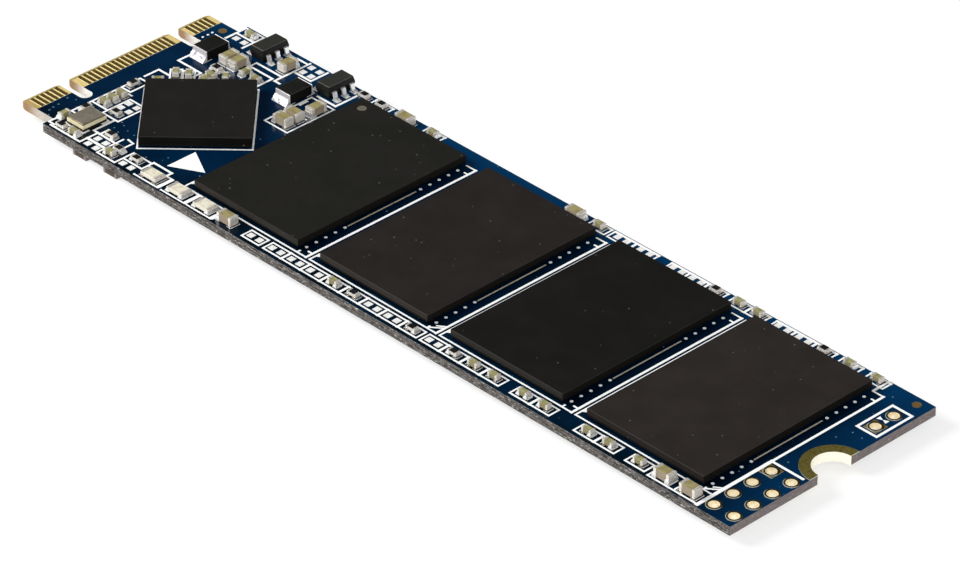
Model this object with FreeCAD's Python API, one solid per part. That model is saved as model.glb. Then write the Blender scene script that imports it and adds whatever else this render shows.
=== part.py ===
"""M.2 2280 solid state drive card with key B and key M notches.

Millimetres. X runs along the card, from the edge contacts at -X to the screw notch at +X.
Y runs across it, Z is up, and the origin is under the middle of the card, on the surface
that its underside capacitors rest on.
"""
import FreeCAD, Part
import math
import os

Vector = FreeCAD.Vector

# Circuit board
board_length = 80.0
board_width = 22.0
board_thickness = 0.8
tongue_length = 4.0
tongue_width = 19.85
tongue_corner_radius = 0.35
bevel_run = 0.5
bevel_drop = 0.22

# Edge contacts and key notches
contact_positions = 75
contact_pitch = 0.5
contact_width = 0.35
contact_length = 1.5
contact_thickness = 0.035
key_notch_width = 1.2
key_notch_depth = 3.5
key_b_first, key_b_last = 12, 19
key_m_first, key_m_last = 59, 66

# Screw notch and plated holes
screw_notch_radius = 1.75
screw_land_radius = 2.65
plating_wall = 0.05
land_thickness = 0.035
hole_radius = 0.45
hole_land_radius = 0.64
hole_pitch = 2.0
header_rows = 4
header_columns = 2
header_end_inset = 0.7
header_side_inset = 1.15
jumper_end_inset = 1.35
jumper_side_inset = 3.15

# Print and pads
ink_thickness = 0.02
ink_line = 0.15
ink_heavy_line = 0.22
front_line_inset = 0.12
pad_thickness = 0.03
ink_clearance = 0.06

# Memory packages, which fill what the two ends and the two rows of chips leave of the board
flash_count = 4
screw_zone_length = 3.6
near_strip_width = 2.3
far_strip_width = 1.7
flash_gap = 2.5
flash_standoff = 0.15
flash_substrate_height = 0.15
flash_mould_height = 0.52
ball_radius = 0.22
ball_sides = 8
flash_ball_pitch = 1.0
flash_frame_margin = 0.35
frame_start_gap = 0.45
frame_stop_reach = 0.05
dot_radius = 0.14
dot_sides = 12
dot_column_gap = 0.28
dot_row_shift = 0.26
dot_rows_each_side = 8
dot_row_margin = 0.92
dimple_radius = 0.4
dimple_depth = 0.04
dimple_inset = 1.15

# Controller
controller_side = 9.0
controller_angle = 45.0
controller_tip_inset = 12.04
controller_side_shift = -1.55
controller_to_flash_frame = 0.45
controller_standoff = 0.2
controller_substrate_height = 0.2
controller_mould_height = 0.65
controller_ball_pitch = 1.1
controller_balls_each_way = 7
controller_frame_gap = 0.1

# Regulators, inductors and crystal
regulator_width = 1.6
regulator_length = 2.9
regulator_height = 1.1
regulator_draft = 0.12
regulator_standoff = 0.08
lead_span = 2.8
lead_foot = 0.4
lead_width = 0.4
lead_thickness = 0.15
lead_pitch = 0.95
leads_each_side = 3
inductor_width = 1.7
inductor_length = 2.5
inductor_height = 0.9
inductor_end_wall = 0.08
inductor_front_fillet = 0.45
inductor_back_fillet = 0.25
inductor_fillet_height = 0.45
inductor_pad_reach = 0.6
crystal_width = 2.0
crystal_length = 2.5
crystal_base_height = 0.2
crystal_can_height = 0.38
crystal_lid_height = 0.05
crystal_lid_inset = 0.1

# Chip sizes: length, width, height and length of each metal end
large_chip = (1.6, 0.85, 0.72, 0.3)
small_chip = (1.0, 0.5, 0.42, 0.22)
resistor_chip = (1.0, 0.5, 0.3, 0.22)
lamp_chip = (1.8, 1.1, 0.32, 0.3)
chip_end_lip = 0.02
resistor_coat_height = 0.03
pad_overhang = 0.14
pad_side_lip = 0.03

# Rows of chips along the two long edges
cells_per_flash = 6.68
cell_width = 1.08
cell_frame_gap = 0.1
cell_row_start = 0.35
near_row_inset = 0.97
far_row_inset = 0.62
far_frame_inset = 0.21
empty_pad_spacing = 0.97
empty_pad_side = 0.56
large_row_inset = 0.95
large_frame_reach = 1.12
large_frame_half = 0.55
underside_front_inset = 0.78
underside_inset = 2.4

# Bare discs, vias and printed marks
fiducial_radius = 0.37
via_radius = 0.11
crystal_pad_length = 0.75
crystal_pad_width = 0.8
crystal_pad_inset = 0.2
underside_frame_length = 2.3
underside_frame_width = 1.3
ball_row_line_width = 0.12

# Derived levels and places
underside_gap = large_chip[2] + pad_thickness + 2 * chip_end_lip
board_bottom = underside_gap
board_top = board_bottom + board_thickness
pad_top = board_top + pad_thickness
end_x = board_length / 2.0
tip_x = -end_x
far_y = board_width / 2.0
near_y = -far_y
shoulder_x = tip_x + tongue_length
controller_reach = controller_side / math.sqrt(2)
flash_frame_start = controller_tip_inset + controller_reach + controller_to_flash_frame
flash_row_start = flash_frame_start - frame_start_gap
flash_pitch = (board_length - flash_row_start - screw_zone_length) / flash_count
flash_length = flash_pitch - flash_gap
flash_width = board_width - near_strip_width - far_strip_width
cell_pitch = flash_pitch / cells_per_flash
dot_row_pitch = (flash_width / 2.0 - dot_row_margin) / dot_rows_each_side


def from_tip(distance):
    """X of a place given by its distance from the tip of the tongue."""
    return tip_x + distance


def from_near(distance):
    """Y of a place given by its distance from the near long edge."""
    return near_y + distance


def from_far(distance):
    """Y of a place given by its distance from the far long edge."""
    return far_y - distance


def box(x0, x1, y0, y1, z0, z1):
    """Box between two corners."""
    return Part.makeBox(x1 - x0, y1 - y0, z1 - z0, Vector(x0, y0, z0))


def block(length, width, height, z0=0.0):
    """Box centred on the Z axis with its underside at z0."""
    return box(-length / 2.0, length / 2.0, -width / 2.0, width / 2.0, z0, z0 + height)


def rod(radius, x, y, z0, z1):
    """Upright cylinder."""
    return Part.makeCylinder(radius, z1 - z0, Vector(x, y, z0))


def stud(radius, sides, x, y, z0, z1):
    """Upright many-sided prism, as wide across its corners as a rod of this radius."""
    corners = [Vector(x + radius * math.cos(2 * math.pi * i / sides),
                      y + radius * math.sin(2 * math.pi * i / sides), z0) for i in range(sides)]
    wire = Part.makePolygon(corners + corners[:1])
    return Part.Face(wire).extrude(Vector(0, 0, z1 - z0))


def placed(shape, x, y, z=0.0, angle=0.0):
    """Copy of a shape turned about Z and then moved."""
    copy = shape.copy()
    copy.rotate(Vector(0, 0, 0), Vector(0, 0, 1), angle)
    copy.translate(Vector(x, y, z))
    return copy


def flipped(shape):
    """Copy of a top-side shape moved to the same place under the board."""
    copy = shape.copy()
    copy.rotate(Vector(0, 0, board_bottom + board_thickness / 2.0), Vector(1, 0, 0), 180)
    return copy


def prism(points, depth):
    """Outline in the XZ plane, extruded by depth along Y and centred on it."""
    corners = [Vector(x, -depth / 2.0, z) for x, z in points]
    wire = Part.makePolygon(corners + corners[:1])
    return Part.Face(wire).extrude(Vector(0, depth, 0))


def union(shapes):
    """One shape out of many, with touching ones merged."""
    first, rest = shapes[0], shapes[1:]
    return first.fuse(rest).removeSplitter() if rest else first


def group(shapes):
    """Compound that keeps its solids separate."""
    solids = []
    for shape in shapes:
        solids.extend(shape.Solids)
    return Part.makeCompound(solids)


# Places of the holes
header_x = [end_x - header_end_inset - i * hole_pitch for i in range(header_columns)]
header_y = [from_near(header_side_inset) + i * hole_pitch for i in range(header_rows)]
header_holes = [(x, y) for x in header_x for y in header_y]
header_square = (header_x[-1], header_y[-1])
jumper_x = end_x - jumper_end_inset
jumper_y = [from_far(jumper_side_inset) - i * hole_pitch for i in range(2)]
jumper_holes = [(jumper_x, y) for y in jumper_y]
jumper_square = jumper_holes[-1]


def contact_y(position):
    """Y of a numbered contact; odd ones are on top and even ones underneath."""
    return (position - (contact_positions + 1) / 2.0) * contact_pitch / 2.0


def is_cut_away(position):
    """Whether a key notch takes the place of this contact."""
    return (key_b_first <= position <= key_b_last) or (key_m_first <= position <= key_m_last)


key_b_y = contact_y((key_b_first + key_b_last) / 2.0)
key_m_y = contact_y((key_m_first + key_m_last) / 2.0)


def key_notch(y):
    """Cutter for one key notch, with a full radius at its root."""
    half = key_notch_width / 2.0
    root_x = from_tip(key_notch_depth - half)
    slot = box(tip_x - 1, root_x, y - half, y + half, board_bottom - 1, board_top + 1)
    return slot.fuse(rod(half, root_x, y, board_bottom - 1, board_top + 1))


def make_board():
    """Laminated board with its tongue, notches, bevel and holes."""
    half = tongue_width / 2.0
    tongue = box(tip_x, shoulder_x, -half, half, board_bottom, board_top)
    for y in (key_b_y, key_m_y):
        tongue = tongue.cut(key_notch(y))
    corners = []
    for edge in tongue.Edges:
        ends = [vertex.Point for vertex in edge.Vertexes]
        upright = len(ends) == 2 and abs(ends[0].z - ends[1].z) > board_thickness / 2.0
        if upright and all(abs(point.x - tip_x) < 0.001 for point in ends):
            corners.append(edge)
    tongue = tongue.makeFillet(tongue_corner_radius, corners)
    body = box(shoulder_x, end_x, near_y, far_y, board_bottom, board_top)
    board = body.fuse(tongue).removeSplitter()
    bevel = prism(
        [(tip_x - 1, board_top + 1), (tip_x - 1, board_top - bevel_drop),
         (tip_x, board_top - bevel_drop), (tip_x + bevel_run, board_top),
         (tip_x + bevel_run, board_top + 1)],
        board_width + 2)
    board = board.cut(bevel).cut(flipped(bevel))
    board = board.cut(rod(screw_notch_radius + plating_wall, end_x, 0, board_bottom - 1,
                          board_top + 1))
    for y in (key_b_y, key_m_y):
        board = board.cut(key_notch(y))
    for x, y in header_holes + jumper_holes:
        board = board.cut(rod(hole_radius + plating_wall, x, y, board_bottom - 1, board_top + 1))
    return board


def make_contacts(parity, z0, z1):
    """Contacts of one face, which are the odd or the even positions."""
    start = tip_x + bevel_run
    contacts = []
    for position in range(1, contact_positions + 1):
        if position % 2 != parity or is_cut_away(position):
            continue
        y = contact_y(position)
        contacts.append(box(start, start + contact_length, y - contact_width / 2.0,
                            y + contact_width / 2.0, z0, z1))
    return group(contacts)


def eyelet(x, y, square):
    """Plated hole with a land on each face."""
    low, high = board_bottom - land_thickness, board_top + land_thickness
    wall = rod(hole_radius + plating_wall, x, y, low, high)
    lands = []
    for z0 in (low, board_top):
        if square:
            side = 2 * hole_land_radius
            lands.append(placed(block(side, side, land_thickness), x, y, z0))
        else:
            lands.append(rod(hole_land_radius, x, y, z0, z0 + land_thickness))
    return union([wall] + lands).cut(rod(hole_radius, x, y, low - 1, high + 1))


def make_screw_land():
    """Half ring on both faces, joined by the plated wall of the notch."""
    low, high = board_bottom - land_thickness, board_top + land_thickness
    wall = rod(screw_notch_radius + plating_wall, end_x, 0, low, high)
    upper = rod(screw_land_radius, end_x, 0, board_top, high)
    lower = rod(screw_land_radius, end_x, 0, low, board_bottom)
    ring = union([wall, upper, lower]).cut(rod(screw_notch_radius, end_x, 0, low - 1, high + 1))
    reach = screw_land_radius + 1
    outside = box(end_x, end_x + reach, -reach, reach, low - 1, high + 1)
    return ring.cut(outside)


# Places of the memory packages
flash_x = [from_tip(flash_row_start + (i + 0.5) * flash_pitch) for i in range(flash_count)]
flash_y = (near_strip_width - far_strip_width) / 2.0
flash_near = flash_y - flash_width / 2.0
flash_frame_near = flash_near - flash_frame_margin
flash_frame_left = [x - flash_pitch / 2.0 + frame_start_gap for x in flash_x]
flash_frame_right = [x + flash_pitch / 2.0 + frame_stop_reach for x in flash_x]
dot_column = [x + flash_length / 2.0 + dot_column_gap for x in flash_x]
dot_middle_y = flash_y - dot_row_shift


def in_row(pitches):
    """X of a place in a chip row, counted in package pitches from the row's first cell."""
    return from_tip(flash_row_start + cell_row_start + pitches * flash_pitch)


def package(length, width, standoff, substrate_height, mould_height):
    """Substrate and mould of a ball grid package, at the origin."""
    substrate = block(length, width, substrate_height, board_top + standoff)
    mould = block(length, width, mould_height, board_top + standoff + substrate_height)
    return substrate, mould


def ball_grid(xs, ys, standoff):
    """Solder balls, flattened between board and substrate."""
    return [stud(ball_radius, ball_sides, x, y, board_top, board_top + standoff)
            for x in xs for y in ys]


def make_flash(parts):
    """Four memory packages in a row."""
    substrate, mould = package(flash_length, flash_width, flash_standoff,
                               flash_substrate_height, flash_mould_height)
    columns = [side * (flash_length / 2.0 - 1.5 * flash_ball_pitch - step * flash_ball_pitch)
               for side in (-1, 1) for step in range(2)]
    rows = int((flash_width - 4 * flash_ball_pitch) / (2 * flash_ball_pitch)) + 1
    row_y = [(i - (rows - 1) / 2.0) * 2 * flash_ball_pitch for i in range(rows)]
    balls = ball_grid(columns, row_y, flash_standoff)
    all_balls = []
    for number, x in enumerate(flash_x, start=1):
        body = placed(mould, x, flash_y)
        if number == 1:
            top = body.BoundBox.ZMax
            body = body.cut(rod(dimple_radius, x - flash_length / 2.0 + dimple_inset,
                                flash_y + flash_width / 2.0 - dimple_inset,
                                top - dimple_depth, top + 1))
        parts["flash_mould_%d" % number] = body
        parts["flash_substrate_%d" % number] = placed(substrate, x, flash_y)
        all_balls.extend(placed(ball, x, flash_y) for ball in balls)
    parts["flash_balls"] = group(all_balls)


# Place of the controller, whose corner points at the first memory package
controller_x = from_tip(controller_tip_inset)
controller_y = controller_side_shift


def make_controller(parts):
    """Controller package, turned on the board."""
    substrate, mould = package(controller_side, controller_side, controller_standoff,
                               controller_substrate_height, controller_mould_height)
    count = controller_balls_each_way
    grid = [(i - (count - 1) / 2.0) * controller_ball_pitch for i in range(count)]
    balls = ball_grid(grid, grid, controller_standoff)
    spot = (controller_x, controller_y, 0.0, controller_angle)
    parts["controller_substrate"] = placed(substrate, *spot)
    parts["controller_mould"] = placed(mould, *spot)
    parts["controller_balls"] = group([placed(ball, *spot) for ball in balls])


# Places beside the controller, given along and out from its upper left side
def beside_controller(along, out):
    """Place near the controller's side that faces the key M notch.

    along runs from that side's middle towards the far edge, and out is square to it.
    """
    half = controller_side / 2.0
    turn = math.radians(controller_angle)
    x = along * math.cos(turn) - (half + out) * math.sin(turn)
    y = along * math.sin(turn) + (half + out) * math.cos(turn)
    return controller_x + x, controller_y + y


# Regulators, inductors and crystal
regulator_places = [(from_tip(8.5), from_far(1.65)), (from_tip(16.4), from_far(1.65))]
inductor_places = [(from_tip(5.05), from_far(4.95)), (from_tip(14.72), from_far(4.62))]
crystal_place = (from_tip(6.3), from_near(2.65))


def make_regulators(parts):
    """Two moulded regulators, each with three bent leads a side."""
    z0 = board_top + regulator_standoff
    middle = z0 + regulator_height / 2.0
    half_x, half_y = regulator_width / 2.0, regulator_length / 2.0

    def outline(level, shrink):
        corners = [Vector(sx * (half_x - shrink), sy * (half_y - shrink), level)
                   for sx, sy in ((-1, -1), (1, -1), (1, 1), (-1, 1))]
        return Part.makePolygon(corners + corners[:1])

    lift = middle - lead_thickness / 2.0
    band_top = lift + lead_thickness
    lower = Part.makeLoft([outline(z0, regulator_draft), outline(lift, 0.0)], True, True)
    band = box(-half_x, half_x, -half_y, half_y, lift, band_top)
    upper = Part.makeLoft([outline(band_top, 0.0),
                           outline(z0 + regulator_height, regulator_draft)], True, True)
    body = union([lower, band, upper])
    foot_z = pad_top
    outer = lead_span / 2.0
    heel = outer - lead_foot
    lead = prism(
        [(half_x, band_top), (heel, band_top),
         (heel + lead_thickness, foot_z + lead_thickness), (outer, foot_z + lead_thickness),
         (outer, foot_z), (heel, foot_z), (heel - lead_thickness * 0.8, lift),
         (half_x, lift)],
        lead_width)
    for number, (x, y) in enumerate(regulator_places, start=1):
        leads = []
        for i in range(leads_each_side):
            shift = (i - (leads_each_side - 1) / 2.0) * lead_pitch
            for angle in (0, 180):
                leads.append(placed(placed(lead, 0, shift, 0, 0), 0, 0, 0, angle))
        parts["regulator_body_%d" % number] = placed(body, x, y)
        parts["regulator_leads_%d" % number] = group([placed(one, x, y) for one in leads])


def make_inductors(parts):
    """Two wound inductors with a metal end at each side and solder in front."""
    core_length = inductor_length - 2 * inductor_end_wall
    core = block(inductor_width, core_length, inductor_height, pad_top)
    end = block(inductor_width, inductor_end_wall, inductor_height, pad_top)
    half = inductor_length / 2.0
    ends, solder = [], []
    for number, (x, y) in enumerate(inductor_places, start=1):
        parts["inductor_core_%d" % number] = placed(core, x, y)
        for side, angle, run in ((-1, -90, inductor_front_fillet), (1, 90, inductor_back_fillet)):
            ends.append(placed(end, x, y + side * (half - inductor_end_wall / 2.0)))
            wedge = prism([(0, 0), (run, 0), (run / 8.0, inductor_fillet_height),
                           (0, inductor_fillet_height)], inductor_width)
            solder.append(placed(wedge, x, y + side * half, pad_top, angle))
    parts["inductor_ends"] = group(ends)
    parts["inductor_solder"] = group(solder)


def make_crystal(parts):
    """Crystal: dark ceramic base, gold can and grey lid."""
    x, y = crystal_place
    base_top = pad_top + crystal_base_height
    can_top = base_top + crystal_can_height
    parts["crystal_base"] = placed(
        block(crystal_width, crystal_length, crystal_base_height, pad_top), x, y)
    parts["crystal_can"] = placed(
        block(crystal_width, crystal_length, crystal_can_height, base_top), x, y)
    parts["crystal_lid"] = placed(
        block(crystal_width - 2 * crystal_lid_inset, crystal_length - 2 * crystal_lid_inset,
              crystal_lid_height, can_top), x, y)


# Places of the chips that stand by themselves: x, y and angle of the long side
large_places = [
    (from_tip(11.2), from_far(2.1), 90),
    (from_tip(7.05), from_far(4.75), 90),
    (from_tip(8.15), from_far(4.75), 90),
    (from_tip(17.85), from_far(5.1), 90),
    (from_tip(17.25), from_far(6.9), 0),
    (from_tip(17.25), from_far(8.1), 0),
]
large_edge_places = [
    (in_row(0.434), from_near(large_row_inset), 0),
    (in_row(3.71), from_near(large_row_inset), 0),
    (in_row(3.89), from_near(large_row_inset), 0),
    (in_row(0.352), from_far(large_row_inset), 0),
    (in_row(1.683), from_far(large_row_inset), 0),
]
large_places += large_edge_places
small_places = [
    (from_tip(5.4), from_far(0.9), 0),
    (from_tip(5.1), from_near(7.35), 0),
    (from_tip(5.1), from_near(6.45), 0),
    (from_tip(5.1), from_near(5.55), 0),
    (from_tip(11.25), from_near(0.85), 0),
    (from_tip(4.35), from_near(1.95), 90),
    (from_tip(6.95), from_near(0.78), 0),
] + [beside_controller(along, out) + (controller_angle + turn,) for along, out, turn in (
    (-3.6, 1.09, 0), (-2.22, 2.25, 90), (-1.16, 2.04, 90), (0.21, 1.23, -45),
    (0.67, 1.97, -45), (1.84, 1.65, 90), (3.39, 2.5, 45), (4.31, 1.44, -45))]
resistor_places = [
    (from_tip(4.5), from_near(9.15), 90),
    (from_tip(6.95), from_near(5.2), 0),
    (from_tip(9.3), from_near(2.65), 0),
    (from_tip(11.35), from_near(1.7), 0),
    (from_tip(13.4), from_near(1.75), 0),
    (from_tip(5.45), from_near(0.75), 0),
    beside_controller(1.03, 3.1) + (0,),
    (from_tip(18.75), from_far(far_row_inset), 0),
    (from_tip(4.7), from_near(3.95), 90),
]
lamp_places = [(from_tip(16.1), from_near(1.1), 0), (from_tip(19.2), from_near(1.1), 0),
               (from_tip(22.3), from_near(1.1), 0)]
empty_pad_places = [
    (from_tip(5.25), from_far(1.95)),
    (from_tip(12.95), from_far(0.65)),
    (from_tip(12.95), from_far(1.6)),
    (from_tip(6.95), from_near(6.95)),
    (from_tip(6.95), from_near(6.1)),
    (from_tip(9.3), from_near(1.65)),
    (from_tip(9.3), from_near(0.62)),
    (from_tip(13.45), from_near(0.68)),
]

# Groups of cells in the long-edge rows: start, what the cells hold, and length of one cell.
# P is an empty pad pair, C a capacitor and R a resistor.
near_groups = [
    (in_row(0.579), "P", cell_pitch),
    (in_row(0.748), "PPPCRPPR", cell_pitch),
    (in_row(1.959), "PRCC", cell_pitch),
    (in_row(2.628), "CC", cell_pitch),
    (in_row(3.091), "CC", cell_pitch),
    (in_row(3.457), "C", cell_pitch),
]
far_groups = [
    (in_row(0.062), "R", cell_pitch),
    (in_row(0.476), "C", cell_pitch),
    (in_row(1.769), "C", cell_pitch),
    (in_row(1.928), "PP", 1.14 * cell_pitch),
    (in_row(2.352), "PPR", 0.95 * cell_pitch),
    (in_row(2.81), "CC", 0.91 * cell_pitch),
    (in_row(3.117), "PPR", 0.98 * cell_pitch),
    (in_row(3.591), "C", cell_pitch),
    (in_row(3.784), "C", cell_pitch),
]


def row_cells(groups):
    """Middle X and kind of each cell, in order along the row."""
    cells = []
    for start, kinds, pitch in groups:
        for index, kind in enumerate(kinds):
            cells.append((start + (index + 0.5) * pitch, kind))
    return cells


for row, row_y in ((near_groups, from_near(near_row_inset)), (far_groups, from_far(far_row_inset))):
    for cell_x, kind in row_cells(row):
        if kind == "P":
            empty_pad_places.append((cell_x, row_y))
        elif kind == "C":
            small_places.append((cell_x, row_y, 0))
        else:
            resistor_places.append((cell_x, row_y, 0))

# Capacitors under the board, on which the card rests
underside_rows = [([from_tip(8.0), from_tip(11.7)], underside_front_inset),
                  (flash_x, underside_inset)]
underside_places = [(x, y, 0) for xs, inset in underside_rows
                    for x in xs for y in (from_near(inset), from_far(inset))]


def chip_end(size):
    """Metal end of a chip, at its +X end, with its foot on Z = 0."""
    length, width, height, end = size
    lip = chip_end_lip
    return box(length / 2.0 - end, length / 2.0, -width / 2.0 - lip, width / 2.0 + lip,
               0.0, height + 2 * lip)


def chip_pads(size):
    """Two pads under a chip, with Z = 0 on the board."""
    length, width, height, end = size
    side = width + 2 * chip_end_lip + 2 * pad_side_lip
    reach = end + pad_overhang
    pad = block(reach, side, pad_thickness)
    shift = length / 2.0 + pad_overhang - reach / 2.0
    return [placed(pad, shift, 0), placed(pad, -shift, 0)]


def add_chips(size, places):
    """Bodies, ends and pads for a list of places on the top face."""
    length, width, height, end = size
    body = block(length - 2 * end, width, height, pad_top + chip_end_lip)
    cap = chip_end(size)
    bodies, ends, pads = [], [], []
    for x, y, angle in places:
        bodies.append(placed(body, x, y, 0, angle))
        ends.append(placed(cap, x, y, pad_top, angle))
        ends.append(placed(cap, x, y, pad_top, angle + 180))
        pads.extend(placed(pad, x, y, board_top, angle) for pad in chip_pads(size))
    return bodies, ends, pads


def empty_pads():
    """Pad pairs that carry no chip."""
    pad = block(empty_pad_side, empty_pad_side, pad_thickness, board_top)
    return [placed(pad, x + side * empty_pad_spacing / 2.0, y)
            for x, y in empty_pad_places for side in (-1, 1)]


def make_chips(parts):
    """All chips on both faces, and every pad."""
    pads = empty_pads()
    for name, size, places in (("large_capacitor", large_chip, large_places),
                               ("small_capacitor", small_chip, small_places),
                               ("resistor", resistor_chip, resistor_places),
                               ("lamp", lamp_chip, lamp_places)):
        bodies, ends, own_pads = add_chips(size, places)
        parts[name + "_bodies"] = group(bodies)
        parts[name + "_ends"] = group(ends)
        pads.extend(own_pads)
    length, width, height, end = resistor_chip
    coat = block(length - 2 * end, width, resistor_coat_height, pad_top + chip_end_lip + height)
    parts["resistor_coats"] = group([placed(coat, x, y, 0, a) for x, y, a in resistor_places])

    lead_pad = block(lead_foot + 2 * pad_overhang, lead_width + 2 * pad_side_lip, pad_thickness)
    for x, y in regulator_places:
        for side in (-1, 1):
            for i in range(leads_each_side):
                shift = (i - (leads_each_side - 1) / 2.0) * lead_pitch
                foot_x = x + side * (lead_span - lead_foot) / 2.0
                pads.append(placed(lead_pad, foot_x, y + shift, board_top))
    for x, y in inductor_places:
        for side, run in ((-1, inductor_front_fillet), (1, inductor_back_fillet)):
            long_pad = block(inductor_width, run + inductor_pad_reach, pad_thickness)
            shift = (inductor_length + run - inductor_pad_reach) / 2.0
            pads.append(placed(long_pad, x, y + side * shift, board_top))
    corner_pad = block(crystal_pad_length, crystal_pad_width, pad_thickness)
    reach_x = crystal_width / 2.0 - crystal_pad_inset
    reach_y = crystal_length / 2.0 - crystal_pad_inset
    for side_x in (-1, 1):
        for side_y in (-1, 1):
            pads.append(placed(corner_pad, crystal_place[0] + side_x * reach_x,
                               crystal_place[1] + side_y * reach_y, board_top))
    parts["solder_pads_top"] = group(union(pads).Solids)

    bodies, ends, own_pads = add_chips(large_chip, underside_places)
    parts["underside_capacitor_bodies"] = flipped(group(bodies))
    parts["underside_capacitor_ends"] = flipped(group(ends))
    parts["solder_pads_bottom"] = flipped(group(own_pads))


def make_marks(parts):
    """Copper discs and tinned vias."""
    discs = [(end_x - 1.15, from_far(0.85)), (from_tip(3.1), from_far(1.95))]
    parts["fiducial_discs"] = group([
        rod(fiducial_radius, x, y, board_top, board_top + land_thickness) for x, y in discs])
    near_vias = [(2.4, 3.95), (2.65, 2.8), (2.7, 2.2), (2.8, 1.7)]
    far_vias = [(2.72, 2.75), (2.74, 3.25), (2.72, 3.8)]
    places = [(from_tip(x), from_near(y)) for x, y in near_vias]
    places += [(from_tip(x), from_far(y)) for x, y in far_vias]
    parts["via_caps"] = group([
        stud(via_radius, dot_sides, x, y, board_top, board_top + land_thickness)
        for x, y in places])


def stroke(x0, y0, x1, y1, width=ink_line):
    """Printed line with square ends that reach half its width past each point."""
    length = math.hypot(x1 - x0, y1 - y0) + width
    bar = block(length, width, ink_thickness, board_top)
    angle = math.degrees(math.atan2(y1 - y0, x1 - x0))
    return placed(bar, (x0 + x1) / 2.0, (y0 + y1) / 2.0, 0, angle)


def path(points, width=ink_line):
    """Printed lines through points."""
    return [stroke(a[0], a[1], b[0], b[1], width) for a, b in zip(points, points[1:])]


def frame(x0, x1, y0, y1, width=ink_line):
    """Printed rectangle."""
    return path([(x0, y0), (x1, y0), (x1, y1), (x0, y1), (x0, y0)], width)


def turned_frame(x, y, length, width, angle):
    """Printed rectangle about a turned chip."""
    turn = math.radians(angle)
    corners = []
    for sx, sy in ((-1, -1), (1, -1), (1, 1), (-1, 1), (-1, -1)):
        dx, dy = sx * length / 2.0, sy * width / 2.0
        corners.append((x + dx * math.cos(turn) - dy * math.sin(turn),
                        y + dx * math.sin(turn) + dy * math.cos(turn)))
    return path(corners)


def dot(x, y):
    """Printed dot."""
    return stud(dot_radius, dot_sides, x, y, board_top, board_top + ink_thickness)


def polygon_mark(points):
    """Printed filled outline."""
    corners = [Vector(x, y, board_top) for x, y in points]
    wire = Part.makePolygon(corners + corners[:1])
    return Part.Face(wire).extrude(Vector(0, 0, ink_thickness))


def row_frames(groups, low, high, high_line=ink_line):
    """Printed box between two levels round each group of cells, with a bar between cells."""
    ink = []
    for start, kinds, pitch in groups:
        left, right = start + cell_frame_gap, start + len(kinds) * pitch - cell_frame_gap
        ink += path([(left, high), (left, low), (right, low), (right, high)])
        ink.append(stroke(left, high, right, high, high_line))
        for index in range(1, len(kinds)):
            x = start + index * pitch
            ink.append(stroke(x, low, x, high, ink_heavy_line))
    return ink


def flash_ink():
    """Outlines, dots and corner marks round the memory packages."""
    ink = []
    top = flash_y + flash_width / 2.0 - 0.18
    dot_rows = range(-dot_rows_each_side, dot_rows_each_side + 1)
    for index, x in enumerate(flash_x):
        left, right = flash_frame_left[index], flash_frame_right[index]
        column = dot_column[index]
        ink += path([(left, top), (left, flash_frame_near), (right, flash_frame_near)])
        ink.append(stroke(right, flash_frame_near, right, top, ink_heavy_line))
        ink.append(stroke(column, top, right, top))
        ink.append(stroke(right - 0.4, top - 0.85, right, top - 0.85))
        ink.append(polygon_mark([(left, flash_frame_near + 0.6), (left + 0.5, flash_frame_near + 0.9),
                                 (left, flash_frame_near + 1.3)]))
        ink.append(stroke(column, flash_frame_near, column, flash_frame_near + 0.3))
        if index % 2:
            ink += path([(column + 0.35, flash_frame_near + 0.75), (right, flash_frame_near + 1.2)])
            ink += path([(column + 0.1, flash_frame_near + 0.2), (right, flash_frame_near + 0.95)])
        else:
            ink.append(stroke(right - 0.45, flash_frame_near + 0.7, right, flash_frame_near + 0.7))
        for row in dot_rows:
            if abs(row) >= dot_rows_each_side / 2:
                ink.append(dot(column, dot_middle_y + row * dot_row_pitch))
    return ink


def end_ink():
    """Outlines of the two hole groups at the screw end."""
    line_x = flash_frame_right[-1]
    header_top = header_y[-1] + 0.95
    box_bottom = from_near(0.3)
    ink = [stroke(line_x, box_bottom, line_x, header_top, ink_heavy_line + 0.1)]
    ink.append(stroke(line_x, header_top, end_x - 0.45, header_top, ink_heavy_line))
    ink += frame(jumper_x - 0.97, jumper_x + 0.97, jumper_y[-1] - 0.93, jumper_y[0] + 0.93, 0.22)
    ink.append(stroke(line_x - 1.07, from_far(0.1), line_x - 1.07, from_far(1.8), ink_heavy_line))
    middle = (jumper_y[0] + jumper_y[-1]) / 2.0 + 0.02
    ink.append(polygon_mark([(jumper_x - 0.65, middle - 0.22), (jumper_x - 0.2, middle),
                             (jumper_x - 0.65, middle + 0.22)]))
    ink.append(polygon_mark([(jumper_x + 0.25, middle - 0.22), (jumper_x - 0.2, middle),
                             (jumper_x + 0.25, middle + 0.22)]))
    ink.append(stroke(line_x - 5.05, box_bottom, line_x, box_bottom))
    return ink


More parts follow.
